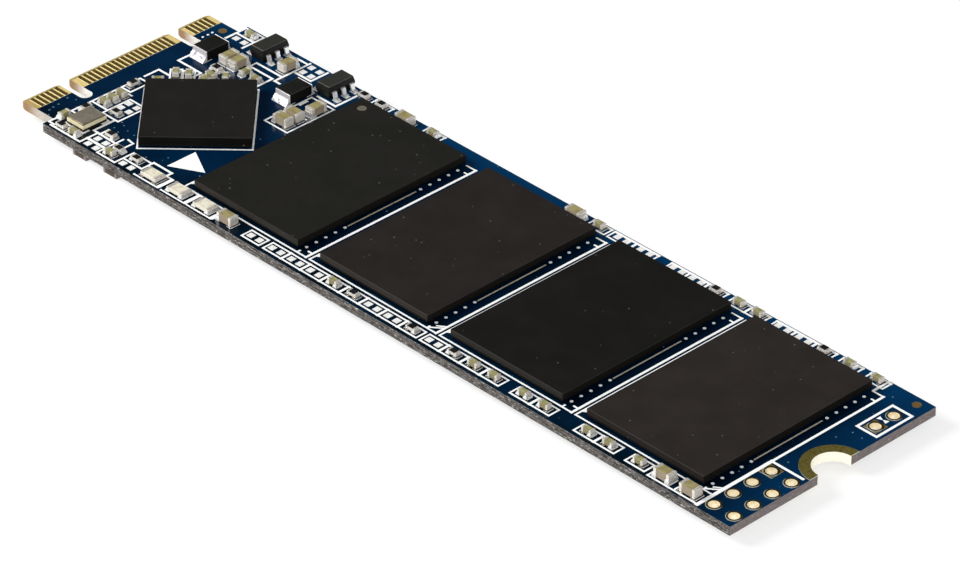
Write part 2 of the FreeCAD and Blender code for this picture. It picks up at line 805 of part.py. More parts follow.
def front_ink():
    """Outlines between the contacts and the first memory package."""
    ink = []
    x, y, far = from_tip, from_near, from_far
    front = shoulder_x + front_line_inset
    half = controller_side / 2.0 + controller_frame_gap
    ink += turned_frame(controller_x, controller_y, 2 * half, 2 * half, controller_angle)
    mark_x = flash_frame_left[0] - 3.2
    ink.append(polygon_mark([(mark_x, y(2.95)), (mark_x + 2.85, y(4.45)), (mark_x, y(5.95))]))
    ink += frame(x(15.85), x(18.5), far(8.85), far(3.75))
    ink += path([(x(16.1), far(3.3)), (x(18.2), far(3.3)), (x(18.2), far(0.95))], ink_heavy_line)
    ink += path([(x(11.9), far(0.3)), (x(11.9), far(4.2)), (x(12.5), far(4.2))], 0.2)
    ink += path([(x(11.9), far(2.1)), (x(13.95), far(2.1)), (x(13.95), far(0.25))], 0.22)
    ink += path([(x(8.9), far(3.35)), (x(11.9), far(3.35))], 0.2)
    ink += path([(x(10.6), far(0.5)), (x(11.9), far(0.5))], 0.2)
    ink += path([(x(8.8), far(4.1)), (x(11.55), far(4.1)), (x(11.55), far(5.8))], 0.2)
    ink += path([(x(8.8), far(3.35)), (x(8.8), far(4.1))], 0.15)
    ink += path([(x(16.05), far(4.45)), (x(16.05), far(5.2))], 0.2)
    ink += frame(x(4.12), x(6.25), far(1.35), far(0.25), 0.18)
    ink += path([(x(4.12), far(1.35)), (x(4.12), far(2.5))], 0.22)
    ink += path([(x(6.25), far(1.35)), (x(6.25), far(2.6))], 0.2)
    ink += path([(front, far(5.95)), (front, far(7.7)), (x(6.1), far(7.7))], 0.2)
    ink += path([(x(6.1), far(7.7)), (x(6.9), far(7.7)), (x(6.9), far(8.6))], 0.18)
    ink += frame(front, x(5.2), y(8.2), y(10.2), 0.17)
    ink += path([(front, y(10.7)), (front, y(12.2)), (x(5.3), y(12.2))], 0.2)
    ink += path([(x(5.7), y(7.9)), (front, y(7.9)), (front, y(5.05)), (x(5.95), y(5.05))], 0.17)
    ink += frame(x(6.05), x(7.95), y(4.5), y(7.45), 0.17)
    ink += path([(front, y(5.05)), (front, y(2.9)), (x(4.7), y(2.9))], 0.17)
    ink += path([(front, y(2.4)), (front, y(0.55)), (x(4.9), y(0.55))], 0.17)
    ink += path([(x(7.62), y(4.5)), (x(7.62), y(2.25)), (x(10.25), y(2.2))], 0.2)
    ink += path([(x(4.6), y(0.32)), (x(8.15), y(0.32)), (x(8.15), y(2.2))], 0.18)
    ink += path([(x(8.15), y(1.12)), (x(10.3), y(1.12))], 0.26)
    ink += path([(x(8.4), y(2.2)), (x(8.4), y(3.15)), (x(8.6), y(3.15))], 0.2)
    ink += path([(x(10.3), y(3.0)), (x(10.3), y(0.28)), (x(12.4), y(0.28)), (x(12.4), y(2.3))],
                0.17)
    ink += path([(x(10.3), y(2.25)), (x(11.3), y(2.25)), (x(11.3), y(3.2)), (x(10.6), y(3.3))],
                0.17)
    ink += path([(x(12.4), y(1.2)), (x(14.6), y(1.2)), (x(14.6), y(2.3)), (x(12.4), y(2.3))], 0.17)
    ink += path([(x(14.6), y(2.25)), (x(14.6), y(2.5)), (x(16.75), y(2.5)), (x(16.75), y(1.95))],
                0.2)
    for start in (14.75, 17.95, 21.0):
        ink.append(stroke(x(start + 2.75), y(0.45), x(start + 2.75), y(1.75), 0.35))
        ink += path([(x(start), y(1.9)), (x(start + 2.8), y(1.9))], 0.17)
        ink += path([(x(start), y(0.28)), (x(start + 2.8), y(0.28))], 0.14)
    return ink


def large_frames():
    """Printed bar beside each large chip on the long edges."""
    ink = []
    for x, y, angle in large_edge_places:
        edge = x - large_frame_reach
        ink.append(stroke(edge, y - large_frame_half, edge, y + large_frame_half))
    return ink


def make_ink(parts):
    """White print of both faces, kept clear of metal."""
    ink = flash_ink() + end_ink() + front_ink() + large_frames()
    half = cell_width / 2.0
    ink += row_frames(near_groups, from_near(near_row_inset - half),
                      from_near(near_row_inset + half))
    ink += row_frames(far_groups, from_far(far_row_inset + half), from_far(far_frame_inset),
                      ink_heavy_line)
    for along, out, turn in ((-3.6, 1.09, 0), (-2.22, 2.25, 90), (-1.16, 2.04, 90)):
        x, y = beside_controller(along, out)
        ink += turned_frame(x, y, 1.75, 0.95, controller_angle + turn)
    keep_out = []
    for name in ("solder_pads_top", "fiducial_discs", "via_caps"):
        keep_out.extend(parts[name].Solids)
    for x, y in header_holes + jumper_holes:
        keep_out.append(rod(hole_land_radius + ink_clearance, x, y, board_top - 1, board_top + 1))
    print_area = box(shoulder_x, end_x, near_y, far_y, board_top - 1, board_top + 1)
    print_area = print_area.cut(rod(screw_land_radius + ink_clearance, end_x, 0,
                                    board_top - 2, board_top + 2))
    parts["silkscreen_top"] = group([union(ink).cut(keep_out).common(print_area)])
    lines = []
    for column in dot_column:
        lines.append(stroke(column, dot_middle_y - 3.65 * dot_row_pitch, column,
                            dot_middle_y + 3.45 * dot_row_pitch, ball_row_line_width))
    parts["ball_row_lines"] = group(lines)
    under = []
    for x, y, angle in underside_places:
        half_x, half_y = underside_frame_length / 2.0, underside_frame_width / 2.0
        under += frame(x - half_x, x + half_x, y - half_y, y + half_y)
    parts["silkscreen_bottom"] = flipped(group(under_union(under)))


def under_union(strokes):
    """Printed boxes of the underside, four strokes to a box."""
    return [union(strokes[i:i + 4]) for i in range(0, len(strokes), 4)]


def make_parts():
    """Every node by name."""
    parts = {}
    parts["circuit_board"] = make_board()
    parts["edge_contacts_top"] = make_contacts(1, board_top, board_top + contact_thickness)
    parts["edge_contacts_bottom"] = make_contacts(0, board_bottom - contact_thickness, board_bottom)
    parts["board_screw_land"] = make_screw_land()
    parts["board_header_eyelets"] = group([
        eyelet(x, y, (x, y) == header_square) for x, y in header_holes])
    parts["board_jumper_eyelets"] = group([
        eyelet(x, y, (x, y) == jumper_square) for x, y in jumper_holes])
    make_flash(parts)
    make_controller(parts)
    make_regulators(parts)
    make_inductors(parts)
    make_crystal(parts)
    make_chips(parts)
    make_marks(parts)
    make_ink(parts)
    return parts


os.makedirs("parts", exist_ok=True)
for node_name, node_shape in make_parts().items():
    node_shape.exportStep("parts/%s.step" % node_name)
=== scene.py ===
"""Looks of a gumstick solid state drive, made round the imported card.

The scene is in metres and in the frame's axes: +X runs from the contacts to the screw notch,
+Y across the card and +Z up. Sizes and places are written in millimetres and multiplied by MM,
apart from those of the studio, which are in metres. A Span is the range of a value in which
a pattern or colour sets in, and a field that ends in share says how much of it then shows.
A face looks along an axis where that part of its direction is over FACING_LIMIT.
"""
import logging
import math
from dataclasses import dataclass, field
from enum import Enum
from typing import Any, Iterator, Sequence, Union

import bmesh
import bpy
from mathutils import Matrix, Vector


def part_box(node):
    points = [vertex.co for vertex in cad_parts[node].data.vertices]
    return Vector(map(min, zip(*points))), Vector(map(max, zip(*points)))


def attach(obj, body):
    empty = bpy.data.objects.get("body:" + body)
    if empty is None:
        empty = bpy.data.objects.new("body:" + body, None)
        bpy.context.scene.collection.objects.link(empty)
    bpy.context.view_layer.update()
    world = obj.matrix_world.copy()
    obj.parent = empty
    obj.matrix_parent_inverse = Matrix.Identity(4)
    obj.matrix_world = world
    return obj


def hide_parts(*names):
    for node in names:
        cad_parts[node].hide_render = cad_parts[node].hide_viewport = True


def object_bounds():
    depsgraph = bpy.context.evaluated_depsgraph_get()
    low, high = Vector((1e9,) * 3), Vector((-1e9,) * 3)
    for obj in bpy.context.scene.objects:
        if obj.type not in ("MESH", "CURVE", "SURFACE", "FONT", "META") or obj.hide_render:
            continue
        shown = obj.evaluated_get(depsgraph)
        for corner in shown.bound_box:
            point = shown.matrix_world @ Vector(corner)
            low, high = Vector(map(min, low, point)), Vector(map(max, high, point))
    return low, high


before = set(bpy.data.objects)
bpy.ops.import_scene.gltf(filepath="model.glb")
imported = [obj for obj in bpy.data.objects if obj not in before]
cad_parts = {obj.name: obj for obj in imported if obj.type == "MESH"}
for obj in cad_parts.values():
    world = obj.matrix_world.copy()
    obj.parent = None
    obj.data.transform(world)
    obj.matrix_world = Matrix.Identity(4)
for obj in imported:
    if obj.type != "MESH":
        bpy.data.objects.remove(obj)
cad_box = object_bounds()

MM = 0.001
WELD = 0.0005 * MM
SHARP = math.radians(25.0)
FLAT = math.radians(1.0)
FACING_LIMIT = 0.6

Colour = tuple[float, float, float]
Point = tuple[float, float, float]
Place = tuple[float, float]
Span = tuple[float, float]
Socket = bpy.types.NodeSocket
Value = Union[Socket, float, Sequence[float]]

BLACK: Colour = (0.0, 0.0, 0.0)
WHITE: Colour = (1.0, 1.0, 1.0)

log = logging.getLogger("drive")


def tone(red: int, green: int, blue: int) -> Colour:
    """Turns a screen's sRGB colour into the linear colour that a shader takes.

    Args:
        red: Red, 0 to 255.
        green: Green, 0 to 255.
        blue: Blue, 0 to 255.

    Returns:
        The linear colour.
    """
    parts = [channel / 255.0 for channel in (red, green, blue)]
    linear = [c / 12.92 if c <= 0.04045 else ((c + 0.055) / 1.055) ** 2.4 for c in parts]
    return linear[0], linear[1], linear[2]


class Tree:
    """Short ways to add, set and join the nodes of one shader tree."""

    def __init__(self, tree: bpy.types.NodeTree) -> None:
        """Takes the tree that the nodes go into."""
        self.tree = tree

    def add(self, kind: str, inputs: dict[Any, Value] | None = None,
            **settings: Any) -> bpy.types.Node:
        """Adds one node.

        Args:
            kind: Node type without its ShaderNode prefix.
            inputs: What goes into its sockets, by name or number.
            settings: The node's own options.

        Returns:
            The new node.
        """
        node = self.tree.nodes.new("ShaderNode" + kind)
        for option, choice in settings.items():
            setattr(node, option, choice)
        for key, value in (inputs or {}).items():
            self.feed(node.inputs[key], value)
        return node

    def feed(self, socket: Socket, value: Value) -> None:
        """Joins an output to a socket, or sets the socket's own value.

        Args:
            socket: The input to fill.
            value: An output socket, a number, or a colour or vector.
        """
        if isinstance(value, bpy.types.NodeSocket):
            self.tree.links.new(value, socket)
        elif isinstance(value, (int, float)):
            socket.default_value = value
        elif socket.type == "RGBA" and len(value) == 3:
            socket.default_value = (*value, 1.0)
        else:
            socket.default_value = value

    def math(self, operation: str, *values: Value, clamp: bool = False) -> Socket:
        """Adds a Math node and returns its result."""
        inputs = dict(enumerate(values))
        return self.add("Math", inputs, operation=operation, use_clamp=clamp).outputs[0]

    def mix(self, share: Value, first: Value, second: Value) -> Socket:
        """Adds a colour mix.

        Args:
            share: 0 for the first colour, 1 for the second.
            first: One colour.
            second: The other colour.

        Returns:
            The mixed colour.
        """
        node = self.add("Mix", data_type="RGBA")
        # The sockets for colours share their names with those for numbers, so they go by number.
        for index, value in ((0, share), (6, first), (7, second)):
            self.feed(node.inputs[index], value)
        return node.outputs[2]

    def step(self, value: Value, low: float, high: float) -> Socket:
        """Maps a value smoothly to 0 at low and 1 at high, and returns the result."""
        inputs = {"Value": value, "From Min": low, "From Max": high}
        return self.add("MapRange", inputs, interpolation_type="SMOOTHSTEP").outputs[0]

    def noise(self, place: Value, scale: Value, detail: float, rough: float = 0.6) -> Socket:
        """Adds noise.

        Args:
            place: Coordinates.
            scale: Blots to a metre.
            detail: Number of finer layers.
            rough: Strength of the finer layers.

        Returns:
            The noise value, 0 to 1.
        """
        inputs = {"Vector": place, "Scale": scale, "Detail": detail, "Roughness": rough}
        return self.add("TexNoise", inputs).outputs[0]

    def rays(self) -> tuple[Socket, Socket]:
        """Tells apart the rays that show a surface to the camera.

        Returns:
            1 for rays straight from the camera, and 1 for mirrored or refracted ones.
        """
        path = self.add("LightPath").outputs
        mirrored = self.math("MAXIMUM", path["Is Glossy Ray"], path["Is Transmission Ray"])
        return path["Is Camera Ray"], mirrored


class Effect(Enum):
    """Surface effects that several materials share."""

    GRAIN = "Fine grain"
    SPECKS = "Scattered specks"
    FIBRES = "Laminate fibres"
    TARNISH = "Dull patches"


@dataclass
class EffectGroup:
    """A node group in the making, with a Place input and number sockets."""

    name: str
    numbers: dict[str, float]
    results: tuple[str, ...]

    def start(self) -> tuple[Tree, dict[str, Socket], dict[str, Socket]]:
        """Makes the empty group.

        Returns:
            The tree, its inputs by name and its outputs by name.
        """
        group = bpy.data.node_groups.new(self.name, "ShaderNodeTree")
        group.interface.new_socket("Place", in_out="INPUT", socket_type="NodeSocketVector")
        for key, default in self.numbers.items():
            made = group.interface.new_socket(key, in_out="INPUT", socket_type="NodeSocketFloat")
            made.default_value = default
        for key in self.results:
            group.interface.new_socket(key, in_out="OUTPUT", socket_type="NodeSocketFloat")
        given = group.nodes.new("NodeGroupInput").outputs
        wanted = group.nodes.new("NodeGroupOutput").inputs
        return (Tree(group), {socket.name: socket for socket in given if socket.name},
                {socket.name: socket for socket in wanted if socket.name})


@dataclass
class EffectShelf:
    """Builds each shared effect once."""

    coarse_scale: float = 0.18
    thread_stretch: Point = (1.0, 1.0, 3.0)
    layer_stretch: Point = (0.3, 0.3, 2.0)
    blot_limit: float = 0.9
    blot_contrast: float = 4.0
    built: dict[Effect, bpy.types.NodeTree] = field(default_factory=dict)

    def get(self, effect: Effect) -> bpy.types.NodeTree:
        """Gives an effect's group, building it the first time.

        Args:
            effect: The effect wanted.

        Returns:
            The node group.
        """
        if effect not in self.built:
            makers = {Effect.GRAIN: self.grain, Effect.SPECKS: self.specks,
                      Effect.FIBRES: self.fibres, Effect.TARNISH: self.tarnish}
            self.built[effect] = makers[effect]()
        return self.built[effect]

    def grain(self) -> bpy.types.NodeTree:
        """Makes the grain of moulded or fired surfaces: fine noise over a coarser one.

        Returns:
            The node group.
        """
        tree, given, wanted = EffectGroup(
            Effect.GRAIN.value, {"Scale": 20000.0, "Coarse": 0.4}, ("Value",)).start()
        fine = tree.noise(given["Place"], given["Scale"], detail=3.0)
        wide = tree.math("MULTIPLY", given["Scale"], self.coarse_scale)
        coarse = tree.noise(given["Place"], wide, detail=2.0)
        part = tree.math("MULTIPLY", coarse, given["Coarse"])
        rest = tree.math("MULTIPLY", fine, tree.math("SUBTRACT", 1.0, given["Coarse"]))
        tree.feed(wanted["Value"], tree.math("ADD", part, rest))
        return tree.tree

    def specks(self) -> bpy.types.NodeTree:
        """Makes specks of dust: small spots in a few cells of a cell pattern.

        Returns:
            The node group.
        """
        tree, given, wanted = EffectGroup(
            Effect.SPECKS.value, {"Scale": 2500.0, "Share": 0.1, "Width": 0.2}, ("Mask",)).start()
        cells = tree.add("TexVoronoi", {"Vector": given["Place"], "Scale": given["Scale"]})
        split = tree.add("SeparateColor", {"Color": cells.outputs["Color"]})
        limit = tree.math("SUBTRACT", 1.0, given["Share"])
        chosen = tree.math("GREATER_THAN", split.outputs[0], limit)
        radius = tree.math("MULTIPLY", given["Width"], split.outputs[1])
        inside = tree.math("LESS_THAN", cells.outputs["Distance"], radius)
        tree.feed(wanted["Mask"], tree.math("MULTIPLY", chosen, inside))
        return tree.tree

    def fibres(self) -> bpy.types.NodeTree:
        """Makes cut glass laminate: short pale threads in uneven flat layers.

        Returns:
            The node group.
        """
        tree, given, wanted = EffectGroup(
            Effect.FIBRES.value, {"Scale": 2500.0}, ("Thread", "Layer")).start()
        short = tree.add("Mapping", {"Vector": given["Place"], "Scale": self.thread_stretch})
        threads = tree.noise(short.outputs[0], given["Scale"], detail=5.0, rough=0.75)
        flat = tree.add("Mapping", {"Vector": given["Place"], "Scale": self.layer_stretch})
        layers = tree.noise(flat.outputs[0], given["Scale"], detail=3.0, rough=0.7)
        tree.feed(wanted["Thread"], threads)
        tree.feed(wanted["Layer"], layers)
        return tree.tree

    def tarnish(self) -> bpy.types.NodeTree:
        """Makes soft blots with a clear edge, for dull patches on metal and print.

        Returns:
            The node group.
        """
        tree, given, wanted = EffectGroup(
            Effect.TARNISH.value, {"Scale": 1500.0, "Amount": 0.5}, ("Mask",)).start()
        blots = tree.noise(given["Place"], given["Scale"], detail=4.0, rough=0.65)
        limit = tree.math("SUBTRACT", self.blot_limit, given["Amount"])
        raised = tree.math("SUBTRACT", blots, limit)
        tree.feed(wanted["Mask"], tree.math("MULTIPLY", raised, self.blot_contrast, clamp=True))
        return tree.tree


EFFECTS = EffectShelf()


class Coat(Tree):
    """A material in the making: its tree, its surface shader and its place coordinates."""

    def __init__(self, name: str) -> None:
        """Starts a material with a plain surface shader.

        Args:
            name: The material's name.
        """
        self.material = bpy.data.materials.new(name)
        self.material.use_nodes = True
        super().__init__(self.material.node_tree)
        self.surface = self.tree.nodes["Principled BSDF"]
        self.place: Socket = self.add("TexCoord").outputs["Object"]

    def effect(self, effect: Effect, size: float, **numbers: float) -> dict[str, Socket]:
        """Places a shared effect.

        Args:
            effect: Which one.
            size: Size of its pattern in millimetres.
            numbers: Its other inputs.

        Returns:
            The group's outputs by name.
        """
        node = self.add("Group", node_tree=EFFECTS.get(effect))
        self.feed(node.inputs["Place"], self.place)
        node.inputs["Scale"].default_value = 1.0 / (size * MM)
        for key, value in numbers.items():
            node.inputs[key].default_value = value
        return {socket.name: socket for socket in node.outputs}

    def clouds(self, size: float, detail: float = 3.0) -> Socket:
        """Adds soft noise whose blots are about so many millimetres wide."""
        return self.noise(self.place, 1.0 / (size * MM), detail)

    def tint(self, base: Value, colour: Value, mask: Value, share: float) -> Socket:
        """Lays a share of a colour over the base where the mask is 1, and returns the result."""
        return self.mix(self.math("MULTIPLY", mask, share), base, colour)

    def set(self, **inputs: Value) -> None:
        """Fills surface sockets, named with underscores for spaces."""
        for key, value in inputs.items():
            self.feed(self.surface.inputs[key.replace("_", " ")], value)

    def rough_between(self, value: Value, low: float, high: float) -> None:
        """Sets roughness from low where value is 0 to high where it is 1."""
        spread = self.math("MULTIPLY", value, high - low)
        self.set(Roughness=self.math("ADD", spread, low, clamp=True))

    def relief(self, height: Value, depth: float, strength: float) -> None:
        """Adds bump.

        Args:
            height: Height value, 0 to 1.
            depth: What 1 stands for, in millimetres.
            strength: Share of the bump that shows.
        """
        bump = self.add("Bump", {"Height": height, "Distance": depth * MM, "Strength": strength})
        self.set(Normal=bump.outputs[0])

    def axes(self, vector: Socket) -> tuple[Socket, Socket, Socket]:
        """Splits a place or direction into its parts along, across and up the card."""
        split = self.add("SeparateXYZ", {"Vector": vector}).outputs
        return split["X"], split["Y"], split["Z"]

    def facing(self) -> tuple[Socket, Socket, Socket]:
        """Gives the parts of the direction in which a face looks."""
        return self.axes(self.add("NewGeometry").outputs["Normal"])

    def level_faces(self) -> Socket:
        """Gives 1 on level faces and 0 on upright ones."""
        return self.math("GREATER_THAN", self.math("ABSOLUTE", self.facing()[2]), FACING_LIMIT)


@dataclass(frozen=True)
class Finish:
    """A finish by name, which makes its material once."""

    name: str

    def material(self) -> bpy.types.Material:
        """Gives the finish's material, making it the first time.

        Returns:
            The material.
        """
        known = bpy.data.materials.get(self.name)
        if known:
            return known
        coat = Coat(self.name)
        self.paint(coat)
        return coat.material

    def paint(self, coat: Coat) -> None:
        """Fills the material's tree, in each kind of finish its own way."""
        raise NotImplementedError(self.name)


@dataclass(frozen=True)
class BoardFinish(Finish):
    """Solder mask on the board's faces, bare laminate at the contacts and on every cut side."""

    # Solder mask
    mask_near: Colour = tone(0, 15, 27)
    mask_middle: Colour = tone(0, 28, 54)
    mask_far: Colour = tone(0, 50, 88)
    near_strip: float = 6.5
    far_strip: float = 5.0
    far_share: float = 0.8
    screw_strip: float = 5.0
    screw_share: float = 0.45
    cloud_size: float = 6.0
    cloud_span: Span = (0.4, 0.75)
    cloud_share: float = 0.3
    dust: Colour = tone(118, 146, 170)
    dust_size: float = 0.42
    dust_share: float = 0.45
    shade_start: float = 0.9
    shade_stop: float = 1.9
    shade_share: float = 0.55
    mask_rough: float = 0.2
    specular: float = 0.1
    ripple_size: float = 0.35
    relief_depth: float = 0.006

    # Bare laminate between the contacts
    laminate_tip: Colour = tone(168, 150, 92)
    laminate_gap: Colour = tone(216, 194, 128)
    laminate_rough: float = 0.8
    mask_start: float = 2.0
    tip_band: float = 0.5
    tip_fade: float = 0.12
    tip_threads: Span = (0.4, 0.7)
    tip_thread_share: float = 0.4
    margin: Colour = tone(164, 138, 84)
    margin_width: float = 0.42
    margin_share: float = 0.8
    tongue_inset: float = 1.075

    # Cut sides
    fibre_size: float = 0.3
    side_dark: Colour = tone(56, 53, 51)
    side_middle: Colour = tone(116, 111, 107)
    layers: Span = (0.36, 0.62)
    thread: Colour = tone(240, 237, 232)
    threads: Span = (0.55, 0.67)
    thread_share: float = 0.8
    amber: Colour = tone(150, 98, 58)
    amber_size: float = 0.5
    amber_span: Span = (0.6, 0.72)
    amber_share: float = 0.45
    pit_size: float = 0.16
    pit_share: float = 0.6
    # Painted light: a paler tone on the cut faces that look to the screw end
    end_painted_light: Colour = tone(176, 164, 164)
    end_light_share: float = 0.5

    # Cut sides of the tongue
    tongue: float = 4.0
    tongue_tan: Colour = tone(172, 138, 102)
    tongue_pale: Colour = tone(214, 206, 194)
    notch_pale: Colour = tone(255, 252, 246)
    outer_strip: float = 1.5
    tongue_fade: Span = (0.6, 2.4)
    tongue_threads: Span = (0.5, 0.68)
    tongue_thread_share: float = 0.5

    def paint(self, coat: Coat) -> None:
        """Mixes mask and laminate by place and by the way that a face looks.

        Args:
            coat: The material in the making.
        """
        along = coat.axes(coat.place)[0]
        level = coat.level_faces()
        beyond = coat.math("GREATER_THAN", along, cad_box[0][0] + self.mask_start * MM)
        masked = coat.math("MULTIPLY", level, beyond)
        fibres = coat.effect(Effect.FIBRES, self.fibre_size)
        cut = coat.mix(level, self.side(coat, fibres), self.bare_face(coat, fibres))
        coat.set(Base_Color=coat.mix(masked, cut, self.mask(coat)),
                 Specular_IOR_Level=self.specular)
        coat.rough_between(masked, self.laminate_rough, self.mask_rough)
        relief = coat.mix(masked, fibres["Thread"], coat.clouds(self.ripple_size))
        coat.relief(relief, self.relief_depth, strength=0.45)

    def bare_face(self, coat: Coat, fibres: dict[str, Socket]) -> Socket:
        """Colours the laminate between the contacts: darker at the tip and at the near edge.

        Args:
            coat: The material in the making.
            fibres: The laminate effect's outputs.

        Returns:
            The bare face's colour.
        """
        along, across, _ = coat.axes(coat.place)
        tip, near = cad_box[0][0], cad_box[0][1]
        behind = coat.step(along, tip + self.tip_band * MM,
                           tip + (self.tip_band + self.tip_fade) * MM)
        bare = coat.mix(behind, self.laminate_tip, self.laminate_gap)
        bare = coat.tint(bare, self.laminate_tip, coat.step(fibres["Thread"], *self.tip_threads),
                         self.tip_thread_share)
        margin_stop = near + (self.tongue_inset + self.margin_width) * MM
        beside = coat.math("LESS_THAN", across, margin_stop)
        return coat.tint(bare, self.margin, beside, self.margin_share)

    def mask(self, coat: Coat) -> Socket:
        """Colours the mask: bluest at the far edge and the screw end, dark beside the packages.

        Args:
            coat: The material in the making.

        Returns:
            The mask's colour.
        """
        along, across, _ = coat.axes(coat.place)
        low, high = cad_box
        inner = coat.step(across, low[1], low[1] + self.near_strip * MM)
        near = coat.mix(inner, self.mask_near, self.mask_middle)
        far = coat.step(across, high[1] - self.far_strip * MM, high[1])
        end = coat.step(along, high[0] - self.screw_strip * MM, high[0])
        light = coat.math("MAXIMUM", coat.math("MULTIPLY", far, self.far_share),
                          coat.math("MULTIPLY", end, self.screw_share))
        clouds = coat.math("MULTIPLY", coat.step(coat.clouds(self.cloud_size), *self.cloud_span),
                           self.cloud_share)
        blue = coat.mix(coat.math("ADD", light, clouds, clamp=True), near, self.mask_far)
        blue = coat.tint(blue, BLACK, self.beside_packages(coat), self.shade_share)
        dust = coat.effect(Effect.SPECKS, self.dust_size, Share=0.1, Width=0.22)["Mask"]
        return coat.tint(blue, self.dust, dust, self.dust_share)

    def beside_packages(self, coat: Coat) -> Socket:
        """Finds the strips at the screw side of the memory packages, which lie in their shade.

        Args:
            coat: The material in the making.

        Returns:
            1 in the strips, 0 elsewhere.
        """
        along, across, _ = coat.axes(coat.place)
        strips: Value = 0.0
        for number in range(1, len(MOULDS) + 1):
            low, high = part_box("flash_mould_%d" % number)
            past = coat.math("GREATER_THAN", along, low.x)
            fade = coat.step(along, high.x + self.shade_stop * MM, high.x + self.shade_start * MM)
            strips = coat.math("MAXIMUM", strips, coat.math("MULTIPLY", past, fade))
        inside = coat.math("COMPARE", across, (low.y + high.y) / 2.0, (high.y - low.y) / 2.0)
        return coat.math("MULTIPLY", strips, inside)

    def side(self, coat: Coat, fibres: dict[str, Socket]) -> Socket:
        """Colours the cut sides: mottled grey, amber and dark spots, and painted light on the end.

        Args:
            coat: The material in the making.
            fibres: The laminate effect's outputs.

        Returns:
            The side's colour.
        """
        side = coat.mix(coat.step(fibres["Layer"], *self.layers), self.side_dark,
                        self.side_middle)
        side = coat.tint(side, self.thread, coat.step(fibres["Thread"], *self.threads),
                         self.thread_share)
        amber = coat.step(coat.clouds(self.amber_size, detail=5.0), *self.amber_span)
        side = coat.tint(side, self.amber, amber, self.amber_share)
        pits = coat.effect(Effect.SPECKS, self.pit_size, Share=0.35, Width=0.5)["Mask"]
        side = coat.tint(side, self.side_dark, pits, self.pit_share)
        # Painted light: the faces that look to the screw end turn paler
        end = coat.math("GREATER_THAN", coat.facing()[0], FACING_LIMIT)
        side = coat.tint(side, self.end_painted_light, end, self.end_light_share)
        on_tongue = coat.math("LESS_THAN", coat.axes(coat.place)[0],
                              cad_box[0][0] + self.tongue * MM)
        return coat.mix(on_tongue, side, self.tongue_side(coat, fibres))

    def tongue_side(self, coat: Coat, fibres: dict[str, Socket]) -> Socket:
        """Colours the tongue's cut sides: tan at the tip, then pale, and palest in the notches.

        Args:
            coat: The material in the making.
            fibres: The laminate effect's outputs.

        Returns:
            The tongue side's colour.
        """
        along, across, _ = coat.axes(coat.place)
        tip, near = cad_box[0][0], cad_box[0][1]
        outer = coat.math("LESS_THAN", across, near + self.outer_strip * MM)
        pale = coat.mix(outer, self.notch_pale, self.tongue_pale)
        fade = coat.step(along, *(tip + reach * MM for reach in self.tongue_fade))
        tongue = coat.mix(fade, self.tongue_tan, pale)
        return coat.tint(tongue, self.side_middle,
                         coat.step(fibres["Thread"], *self.tongue_threads),
                         self.tongue_thread_share)


@dataclass(frozen=True)
class Metal(Finish):
    """Plated or solder metal with soft dull patches, and painted light and shade on upright walls.
    """

    colour: Colour
    dull: Colour
    # Painted light and shade: the tone of upright walls, lighter or darker than the level faces
    wall: Colour
    metallic: float = 1.0
    wall_metallic: float = 0.3
    smooth: float = 0.25
    worn: float = 0.5
    patch: float = 0.6
    amount: float = 0.5
    grain: float = 0.06
    depth: float = 0.01

    def paint(self, coat: Coat) -> None:
        """Mixes bright and dull metal, and adds a light grain.

        Args:
            coat: The material in the making.
        """
        dull = coat.effect(Effect.TARNISH, self.patch, Amount=self.amount)["Mask"]
        grain = coat.effect(Effect.GRAIN, self.grain, Coarse=0.5)["Value"]
        face = coat.mix(dull, self.colour, self.dull)
        level = coat.level_faces()
        spread = coat.math("MULTIPLY", level, self.metallic - self.wall_metallic)
        # Painted light and shade: upright walls take the wall tone and their own metallic level
        coat.set(Base_Color=coat.mix(level, self.wall, face),
                 Metallic=coat.math("ADD", spread, self.wall_metallic))
        coat.rough_between(dull, self.smooth, self.worn)
        coat.relief(grain, self.depth, strength=0.6)


@dataclass(frozen=True)
class EyeletFinish(Finish):
    """Plated holes in a square grid: bright walls, dark rings and a line at their rim.

    The bright walls are painted light, and the line is a painted highlight on the near side of
    each ring. Past the outside radius come the corners of the square lands.
    """

    first: Place
    pitch: float = 2.0
    rim: float = 0.575
    rim_fade: float = 0.03
    near_side: Span = (0.35, -0.35)
    outside: float = 0.66
    ring: Colour = tone(40, 38, 16)
    corner: Colour = tone(132, 110, 44)
    # Painted highlight: the pale line on the near side of each rim
    rim_highlight: Colour = tone(214, 220, 206)
    # Painted light: the bright tone of the hole walls
    lit_barrel: Colour = tone(255, 243, 212)
    patch: float = 0.2
    dull_share: float = 0.3
    metallic: float = 0.5
    wall_rough: float = 0.2
    ring_rough: float = 0.4

    def paint(self, coat: Coat) -> None:
        """Colours by the distance from the nearest hole's middle.

        Args:
            coat: The material in the making.
        """
        along, across, _ = coat.axes(coat.place)
        half = self.pitch * MM / 2.0
        offsets = [coat.math("WRAP", coat.math("SUBTRACT", value, middle * MM), half, -half)
                   for value, middle in ((along, self.first[0]), (across, self.first[1]))]
        squares = [coat.math("MULTIPLY", offset, offset) for offset in offsets]
        radius = coat.math("SQRT", coat.math("ADD", *squares))
        # Painted highlight: a pale line at the rim, on the near side of each ring only
        line = coat.step(radius, self.rim * MM, (self.rim + self.rim_fade) * MM)
        near = coat.step(coat.math("DIVIDE", offsets[1], radius), *self.near_side)
        dull = coat.effect(Effect.TARNISH, self.patch, Amount=0.45)["Mask"]
        face = coat.mix(coat.math("MULTIPLY", line, near), self.ring, self.rim_highlight)
        face = coat.mix(coat.math("GREATER_THAN", radius, self.outside * MM), face, self.corner)
        face = coat.tint(face, self.corner, dull, self.dull_share)
        level = coat.level_faces()
        # Painted light: upright walls take the bright barrel tone
        coat.set(Base_Color=coat.mix(level, self.lit_barrel, face), Metallic=self.metallic)
        coat.rough_between(level, self.wall_rough, self.ring_rough)


